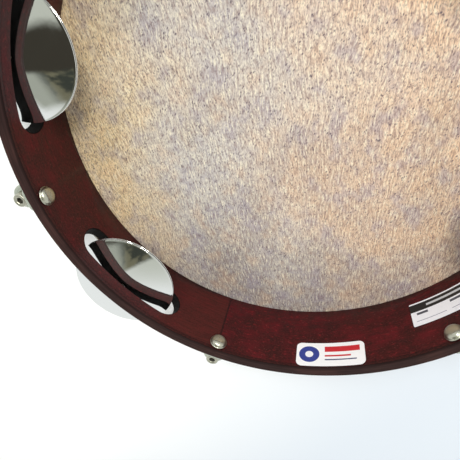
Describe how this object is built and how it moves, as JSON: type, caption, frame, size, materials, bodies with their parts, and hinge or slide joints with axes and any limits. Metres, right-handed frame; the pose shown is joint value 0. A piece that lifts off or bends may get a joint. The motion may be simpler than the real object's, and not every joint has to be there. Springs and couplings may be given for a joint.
{
  "type": "tunable frame drum with jingles",
  "caption": "Shallow round frame drum: a bent wooden shell with a tuned film head, slotted for pairs of jingles, with a plain bay for the hand.",
  "frame": {"origin": "centre of the outer face of the head, which the drum lies on", "axes": "+Z is the drum's axis, from the head towards the open rim; -Y is the plain bay where the hand holds the shell"},
  "size_m": [0.2876, 0.2863, 0.045],
  "materials": {
    "shell_wood": "burgundy stained and lacquered",
    "drum_film": "printed polyester film, skin look",
    "hoop_aluminium": "plain",
    "hoop_chrome": "bright plated",
    "lug_chrome": "bright plated",
    "screw_nickel": "nickel plated",
    "jingle_chrome": "mirror bright",
    "label_paper": "printed sticker"
  },
  "bodies": {
    "root": {"shell": "shell_wood", "head_film": "drum_film", "flesh_hoop": "hoop_aluminium", "counterhoop": "hoop_chrome", "lug_1": "lug_chrome", "wall_screw_1": "screw_nickel", "lug_2": "lug_chrome", "wall_screw_2": "screw_nickel", "lug_3": "lug_chrome", "wall_screw_3": "screw_nickel", "lug_4": "lug_chrome", "wall_screw_4": "screw_nickel", "lug_5": "lug_chrome", "wall_screw_5": "screw_nickel", "lug_6": "lug_chrome", "wall_screw_6": "screw_nickel", "jingle_pin_1": "screw_nickel", "jingle_pin_2": "screw_nickel", "jingle_pin_3": "screw_nickel", "jingle_pin_4": "screw_nickel", "jingle_pin_5": "screw_nickel", "maker_label": "label_paper", "batch_label": "label_paper"},
    "tuning_screw_1": {"tuning_screw_1": "screw_nickel"},
    "tuning_screw_2": {"tuning_screw_2": "screw_nickel"},
    "tuning_screw_3": {"tuning_screw_3": "screw_nickel"},
    "tuning_screw_4": {"tuning_screw_4": "screw_nickel"},
    "tuning_screw_5": {"tuning_screw_5": "screw_nickel"},
    "tuning_screw_6": {"tuning_screw_6": "screw_nickel"},
    "upper_jingle_1": {"upper_jingle_1": "jingle_chrome"},
    "lower_jingle_1": {"lower_jingle_1": "jingle_chrome"},
    "upper_jingle_2": {"upper_jingle_2": "jingle_chrome"},
    "lower_jingle_2": {"lower_jingle_2": "jingle_chrome"},
    "upper_jingle_3": {"upper_jingle_3": "jingle_chrome"},
    "lower_jingle_3": {"lower_jingle_3": "jingle_chrome"},
    "upper_jingle_4": {"upper_jingle_4": "jingle_chrome"},
    "lower_jingle_4": {"lower_jingle_4": "jingle_chrome"},
    "upper_jingle_5": {"upper_jingle_5": "jingle_chrome"},
    "lower_jingle_5": {"lower_jingle_5": "jingle_chrome"}
  },
  "joints": [
    {"name": "tuning_screw_1_turn", "type": "hinge", "parent": "root", "child": "tuning_screw_1", "pos_m": [0.1372, 0, 0.0373], "axis": [0, 0, 1], "continuous": true},
    {"name": "tuning_screw_2_turn", "type": "hinge", "parent": "root", "child": "tuning_screw_2", "pos_m": [0.0686, 0.11882, 0.0373], "axis": [0, 0, 1], "continuous": true},
    {"name": "tuning_screw_3_turn", "type": "hinge", "parent": "root", "child": "tuning_screw_3", "pos_m": [-0.0686, 0.11882, 0.0373], "axis": [0, 0, 1], "continuous": true},
    {"name": "tuning_screw_4_turn", "type": "hinge", "parent": "root", "child": "tuning_screw_4", "pos_m": [-0.1372, 0, 0.0373], "axis": [0, 0, 1], "continuous": true},
    {"name": "tuning_screw_5_turn", "type": "hinge", "parent": "root", "child": "tuning_screw_5", "pos_m": [-0.0686, -0.11882, 0.0373], "axis": [0, 0, 1], "continuous": true},
    {"name": "tuning_screw_6_turn", "type": "hinge", "parent": "root", "child": "tuning_screw_6", "pos_m": [0.0686, -0.11882, 0.0373], "axis": [0, 0, 1], "continuous": true},
    {"name": "upper_jingle_1_slide", "type": "slide", "parent": "root", "child": "upper_jingle_1", "axis": [0, 0, 1], "range_m": [-0.004, 0.001]},
    {"name": "lower_jingle_1_slide", "type": "slide", "parent": "upper_jingle_1", "child": "lower_jingle_1", "axis": [0, 0, 1], "range_m": [-0.0045, 0]},
    {"name": "upper_jingle_2_slide", "type": "slide", "parent": "root", "child": "upper_jingle_2", "axis": [0, 0, 1], "range_m": [-0.004, 0.001]},
    {"name": "lower_jingle_2_slide", "type": "slide", "parent": "upper_jingle_2", "child": "lower_jingle_2", "axis": [0, 0, 1], "range_m": [-0.0045, 0]},
    {"name": "upper_jingle_3_slide", "type": "slide", "parent": "root", "child": "upper_jingle_3", "axis": [0, 0, 1], "range_m": [-0.004, 0.001]},
    {"name": "lower_jingle_3_slide", "type": "slide", "parent": "upper_jingle_3", "child": "lower_jingle_3", "axis": [0, 0, 1], "range_m": [-0.0045, 0]},
    {"name": "upper_jingle_4_slide", "type": "slide", "parent": "root", "child": "upper_jingle_4", "axis": [0, 0, 1], "range_m": [-0.004, 0.001]},
    {"name": "lower_jingle_4_slide", "type": "slide", "parent": "upper_jingle_4", "child": "lower_jingle_4", "axis": [0, 0, 1], "range_m": [-0.0045, 0]},
    {"name": "upper_jingle_5_slide", "type": "slide", "parent": "root", "child": "upper_jingle_5", "axis": [0, 0, 1], "range_m": [-0.004, 0.001]},
    {"name": "lower_jingle_5_slide", "type": "slide", "parent": "upper_jingle_5", "child": "lower_jingle_5", "axis": [0, 0, 1], "range_m": [-0.0045, 0]}
  ]
}
